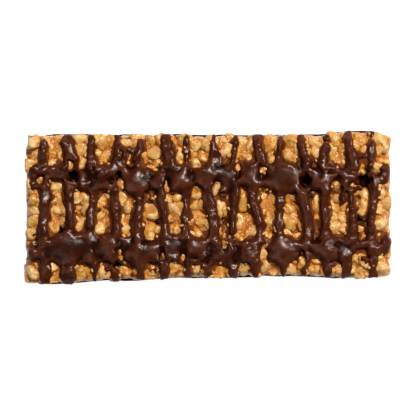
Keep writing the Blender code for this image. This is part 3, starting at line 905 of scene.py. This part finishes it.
# The drizzle: its two tones, painted shade in its hollows, and where it's thin
DARK_CHOCOLATE = (0.038, 0.0076, 0.0025, 1)
WARM_CHOCOLATE = (0.066, 0.0155, 0.0058, 1)
HOLLOW_SHADE = (0.009, 0.0012, 0.0003, 1)
THIN_CHOCOLATE = (0.13, 0.036, 0.009, 1)
# The chocolate under the bar
DARK_BASE = (0.034, 0.0065, 0.0018, 1)
WARM_BASE = (0.060, 0.0130, 0.0038, 1)


class Shading:
    """Short ways to wire the nodes of a material or of the sky."""

    def __init__(self, owner, shader="Principled BSDF"):
        owner.use_nodes = True
        self.owner = owner
        self.tree = owner.node_tree
        self.shader = self.tree.nodes[shader]

    def add(self, kind, **settings):
        node = self.tree.nodes.new("ShaderNode" + kind)
        for key, value in settings.items():
            setattr(node, key, value)
        return node

    def wire(self, value, socket):
        """Links a socket to another one or the mesh's attribute of a name, or gives it a value."""
        if isinstance(value, str):
            value = self.add("Attribute", attribute_name=value).outputs["Fac"]
        if isinstance(value, bpy.types.NodeSocket):
            self.tree.links.new(value, socket)
        else:
            socket.default_value = value

    def math(self, operation, *values):
        node = self.add("Math", operation=operation)
        for value, socket in zip(values, node.inputs):
            self.wire(value, socket)
        return node.outputs[0]

    def texture(self, kind, length):
        """A texture whose features are about this many millimetres long."""
        node = self.add(kind)
        self.wire(self.add("TexCoord").outputs["Object"], node.inputs["Vector"])
        node.inputs["Scale"].default_value = 1 / (length * MM)
        return node

    def noise(self, length, detail=3.0):
        node = self.texture("TexNoise", length)
        node.inputs["Detail"].default_value = detail
        return node.outputs["Fac"]

    def cells(self, length):
        return self.texture("TexVoronoi", length).outputs["Distance"]

    def ramp(self, value, low, high, to_low=0.0, to_high=1.0):
        """A value eased from one range to another."""
        node = self.add("MapRange", interpolation_type="SMOOTHSTEP")
        for socket, given in zip(node.inputs, (value, low, high, to_low, to_high)):
            self.wire(given, socket)
        return node.outputs[0]

    def mix(self, share, first, second):
        node = self.add("Mix", data_type="RGBA")
        self.wire(share, node.inputs["Factor"])
        self.wire(first, node.inputs[MIX_FIRST])
        self.wire(second, node.inputs[MIX_SECOND])
        return node.outputs[MIX_RESULT]

    def bump(self, height, distance, strength, normal=None):
        node = self.add("Bump")
        self.wire(height, node.inputs["Height"])
        node.inputs["Distance"].default_value = distance * MM
        node.inputs["Strength"].default_value = strength
        if normal is not None:
            self.wire(normal, node.inputs["Normal"])
        return node.outputs[0]

    def set(self, **values):
        """Gives the shader's inputs their values or links."""
        for key, value in values.items():
            self.wire(value, self.shader.inputs[key.replace("_", " ")])


def crisp_colour(make):
    """Amber to straw by crisp; painted shade: orange on flanks, dark in gaps; brown by the chocolate."""
    tint = make.math("MULTIPLY", "tint", 0.75)
    tone = make.math("ADD", make.math("MULTIPLY", make.noise(2.2), 0.45), tint)
    colour = make.mix(make.ramp(tone, 0.15, 1.0), AMBER, STRAW)
    # Painted shade: the crisp's sides, turned away from its outer face, go darker orange
    colour = make.mix(make.ramp("facing", 0.90, 0.30, 0, 0.85), colour, SHADED_FLANK)
    # Painted shade: darker orange in the creases at the rims of the lobes
    colour = make.mix(make.ramp(make.cells(1.1), 0.42, 0.80, 0, 0.30), colour, SHADED_LOBE_RIM)
    # Painted light: paler cream where the crisp stands above the smoothed body
    colour = make.mix(make.ramp("sunk", 0.05, -0.60, 0, 0.5), colour, LIT_RAISED)
    # Painted shade: deeper orange where the crisp is sunk among the others
    colour = make.mix(make.ramp("sunk", 0.1, 0.80), colour, SHADED_SUNK)
    # Painted shade: near black in the deep gaps between crisps
    colour = make.mix(make.ramp("sunk", 0.55, 1.20, 0, 0.90), colour, GAP_SHADE)
    coated = make.math("ADD", "coated", make.math("MULTIPLY", make.noise(1.4), 0.9))
    # Syrup and painted shade: orange on the crisps close to the chocolate's edge
    colour = make.mix(make.ramp(coated, -1.3, 0.2, 0, 0.6), colour, SYRUP_AND_SHADE)
    return make.mix(make.ramp(coated, 0.2, 0.9, 0, 0.75), colour, SMEARED)


def crisp_material():
    """Toasted crisps glazed with syrup: pale specks as painted glints, and lobes and grains as bump."""
    make = Shading(bpy.data.materials.new("toasted_crisps"))
    colour = crisp_colour(make)
    specks = make.cells(0.62)
    patches = make.ramp(make.noise(2.0), 0.38, 0.62, 0.15, 0.75)
    # Painted highlight: pale glints on the specks, in patches
    painted_glints = make.math("MULTIPLY", make.ramp(specks, 0.42, 0.12), patches)
    pocked = make.ramp("folded", 0.3, 0.9, 0.25, 1.0)
    lobes = make.math("MULTIPLY", make.math("POWER", make.cells(1.1), 2.0), pocked)
    grains = make.math("MULTIPLY", make.math("POWER", specks, 2.0), 0.5)
    soft = make.math("MULTIPLY", make.noise(0.8, detail=2), 0.5)
    height = make.math("SUBTRACT", soft, make.math("ADD", lobes, grains))
    make.set(
        Base_Color=make.mix(painted_glints, colour, PAINTED_GLINT),
        Roughness=make.ramp(make.noise(0.9), 0.3, 0.7, 0.26, 0.50),
        Normal=make.bump(height, 0.155, 1.0),
        IOR=1.3,
        Specular_IOR_Level=make.ramp("sunk", -0.1, 0.5, 0.7, 0.1),
        Specular_Tint=(1.0, 0.84, 0.58, 1),
        Subsurface_Weight=0.25,
        Subsurface_Radius=(1.0, 1.0, 1.0),
        Subsurface_Scale=0.5 * MM,
        Coat_Weight=make.ramp("sunk", -0.1, 0.5, 0.3, 0.0),
        Coat_Roughness=0.20,
        Coat_Tint=(1.0, 0.94, 0.82, 1),
    )
    return make.owner


def chocolate_material():
    """Glossy drizzle: painted shade darkens its hollows, warmer where it's thin, duller and smoother in
    pools.
    """
    make = Shading(bpy.data.materials.new("chocolate"))
    colour = make.mix(make.ramp(make.noise(4.0), 0.3, 0.7), DARK_CHOCOLATE, WARM_CHOCOLATE)
    hollow = make.ramp("hollow", -0.24, 0.05)
    # Painted shade: near black in the drizzle's hollows
    colour = make.mix(make.math("MULTIPLY", hollow, 0.90), colour, HOLLOW_SHADE)
    colour = make.mix(make.ramp("coated", 0.30, 0.0, 0.0, 0.8), colour, THIN_CHOCOLATE)
    bumpy = make.ramp("deep", 0.1, 0.7, 1.0, 0.35)
    bumpy = make.math("ADD", bumpy, make.math("MULTIPLY", "rough", 1.8))
    fine = make.math("MULTIPLY", make.noise(0.5), bumpy)
    coarse = make.math("MULTIPLY", make.noise(1.6, detail=2), bumpy)
    in_pools = make.ramp("deep", 0.1, 0.8, 0.0, 0.07)
    shine = make.ramp(hollow, 0.3, 1.0, 1.0, 0.3)
    level = make.ramp("level", 0.50, 0.85, 0.1, 1.0)
    make.set(
        Base_Color=colour,
        Roughness=make.math("ADD", make.ramp(make.noise(1.2), 0.3, 0.7, 0.13, 0.25), in_pools),
        Normal=make.bump(coarse, 0.22, 0.6, make.bump(fine, 0.09, 0.6)),
        IOR=1.2,
        Specular_IOR_Level=make.math("MULTIPLY", shine, level),
        Specular_Tint=(1.0, 0.93, 0.87, 1),
    )
    return make.owner


def base_material():
    """The underside's chocolate, duller than the drizzle."""
    make = Shading(bpy.data.materials.new("base_chocolate"))
    make.set(
        Base_Color=make.mix(make.ramp(make.noise(3.0), 0.3, 0.7), DARK_BASE, WARM_BASE),
        Roughness=make.ramp(make.noise(2.0), 0.3, 0.7, 0.45, 0.65),
        Normal=make.bump(make.noise(1.2), 0.12, 0.7),
        IOR=1.12,
        Specular_IOR_Level=0.15,
    )
    return make.owner


# --- The bar's pieces


def crumbs(points, coated, rng):
    """Small scraps of crisp that stick to the chocolate near its edges."""
    thin = (coated > CRUMB_COAT[0]) & (coated < CRUMB_COAT[1])
    edge = points[thin & (points[:, 2] > CORE_TOP + CRUMB_RISE)]
    made = []
    for place in rng.sample(range(len(edge)), CRUMBS):
        crumb = Crisp(edge[place], (0, 0, 1), rng)
        crumb.sizes = np.array([rng.uniform(*CRUMB_HALF_SIZE) for _ in range(3)])
        made.append(crumb)
    return made


def bar_fields(crisps):
    """The body of crisps and core, the same blurred for the chocolate to lie on, the chocolate's
    thickness over that and how far each place is into a pool, all on the grid."""
    body = body_field(crisps)
    soft_body = softened(body, SOFTNESS)
    wide_body = softened(soft_body, POOL_SOFTNESS)
    coat, deep = coat_field(soft_body, wide_body)
    x, y, _ = GRID
    smooth_share = deep * (1 - roughness_at(x, y))
    soft_body += deep * (wide_body - soft_body)
    coat += (smooth_share * (softened(coat, COAT_SOFTNESS) - coat)).astype(np.float32)
    dig_pits(body)
    dig_pits(soft_body)
    return body, soft_body, coat, deep


def core_object(body, soft_body, coat, material):
    """What shows between the crisps: the body's own surface, a little further in."""
    thinned = (slice(None, None, CORE_STRIDE),) * 3
    points, quads = surface_net((body + CORE_SHRINK)[thinned], CORE_STRIDE)
    attributes = {"sunk": -sample(soft_body, points), "coated": sample(coat, points)}
    attributes |= {name: np.full(len(points), value) for name, value in CORE_LOOK.items()}
    return mesh_object("syrup_core", points, quads, material, attributes)


def drizzle_object(drizzle, points, quads, coated, deep):
    """The chocolate's skin, with what its material reads at each place."""
    attributes = {
        "coated": coated,
        "deep": sample(deep, points),
        "rough": roughness_at(points[:, 0], points[:, 1]),
        "hollow": -sample(softened(drizzle, HOLLOW_LENGTH), points),
    }
    obj = mesh_object("chocolate_drizzle", points, quads, chocolate_material(), attributes)
    thin_out(obj, DRIZZLE_KEPT)
    set_attribute(obj.data, "level", normals_of(obj)[:, 2])
    return obj


def build_bar():
    """The bar's pieces, and what each rides on and is coloured as."""
    rng = random.Random(SEED)
    sides = side_crisps(rng)
    tops = moved_off_pits(top_crisps(rng) + poking_crisps(rng))
    body, soft_body, coat, deep = bar_fields(sides + tops)
    material = crisp_material()
    tops, sides = shown(tops, soft_body - coat), shown(sides, soft_body - coat)
    puffed = [crisp for crisp in tops if crisp.folded > PUFFED_FROM]
    smooth = [crisp for crisp in tops if crisp.folded <= PUFFED_FROM]
    drizzle = np.maximum(soft_body - coat, -(soft_body + SKIN_DEPTH))
    points, quads = surface_net(drizzle, 1)
    coated = sample(coat, points)
    pieces = [
        crisp_object("puffed_crisps", puffed, TOP_CUTS, soft_body, coat, material),
        crisp_object("smooth_crisps", smooth, TOP_CUTS, soft_body, coat, material),
        crisp_object("side_crisps", sides, SIDE_CUTS, soft_body, coat, material),
    ]
    core = core_object(body, soft_body, coat, material)
    stuck = crumbs(points, coated, rng)
    pieces.append(crisp_object("crumbs", stuck, CRUMB_CUTS, soft_body, coat, material))
    drizzle_piece = drizzle_object(drizzle, points, quads, coated, deep)
    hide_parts("crisp_bar")
    for piece in (*pieces, core):
        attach(piece, "root")
    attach(drizzle_piece, "root")


def build_base():
    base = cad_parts["chocolate_base"]
    base.data.materials.clear()
    base.data.materials.append(base_material())


# --- Studio, in metres


# Lights over the bar: name, place, size and watts
LIGHTS = (
    ("key", (0.22, 0.40, 0.74), (0.25, 0.19), 7.9),
    ("sheen", (0.05, 0.42, 0.78), (0.50, 0.24), 2.0),
    ("accent", (0.50, 0.16, 0.56), (0.08, 0.08), 2.6),
    ("fill", (-0.30, -0.22, 0.74), (0.40, 0.40), 0.8),
)
# How strong the sky is at two heights, of which 1 is straight up. It fades between them
SKY_HEIGHTS = (0.70, 0.90)
SKY_STRENGTHS = (0.035, 0.02)
# The camera looks straight down. Its view's width is at 1 m, and its sensor's in millimetres
CAMERA_PLACE = (0, -0.000135, 1.015)
VIEW_WIDTH = 0.11232
SENSOR_WIDTH = 36
# The floor is white to the camera by its glow
FLOOR_REACH = 8.0
FLOOR_GLOW = 0.94
FLOOR_GREYS = ((0.34, 0.34, 0.34, 1), (0.36, 0.36, 0.36, 1))


def build_floor():
    make = Shading(bpy.data.materials.new("floor"))
    make.set(
        Emission_Color=(1, 1, 1, 1),
        Emission_Strength=FLOOR_GLOW,
        Base_Color=make.mix(make.noise(300.0), *FLOOR_GREYS),
        Roughness=0.9,
    )
    reach = FLOOR_REACH / MM
    corners = np.array([(-reach, -reach, 0), (reach, -reach, 0), (reach, reach, 0), (-reach, reach, 0)])
    floor = mesh_object("floor", corners, np.array([[0, 1, 2, 3]]), make.owner, {})
    floor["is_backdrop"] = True


def build_sky():
    make = Shading(bpy.data.worlds.new("studio"), "Background")
    up = make.add("SeparateXYZ")
    make.wire(make.add("TexCoord").outputs["Generated"], up.inputs[0])
    make.set(Color=(1, 1, 1, 1), Strength=make.ramp(up.outputs["Z"], *SKY_HEIGHTS, *SKY_STRENGTHS))
    bpy.context.scene.world = make.owner


def build_lights():
    for name, place, size, power in LIGHTS:
        light = bpy.data.lights.new(name, "AREA")
        light.shape = "RECTANGLE"
        light.size, light.size_y = size
        light.energy = power
        obj = linked(name, light, place)
        obj.rotation_euler = Vector(place).to_track_quat("Z", "Y").to_euler()


def build_camera():
    camera = bpy.data.cameras.new("camera")
    camera.sensor_width = SENSOR_WIDTH
    camera.lens = SENSOR_WIDTH / VIEW_WIDTH
    camera.clip_end = 10
    bpy.context.scene.camera = linked("camera", camera, CAMERA_PLACE)
    bpy.context.scene.view_settings.view_transform = "Standard"


def write_sizes():
    corners = [list(corner) for corner in (*cad_box, *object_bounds())]


build_bar()
build_base()
build_floor()
build_sky()
build_lights()
build_camera()
write_sizes()
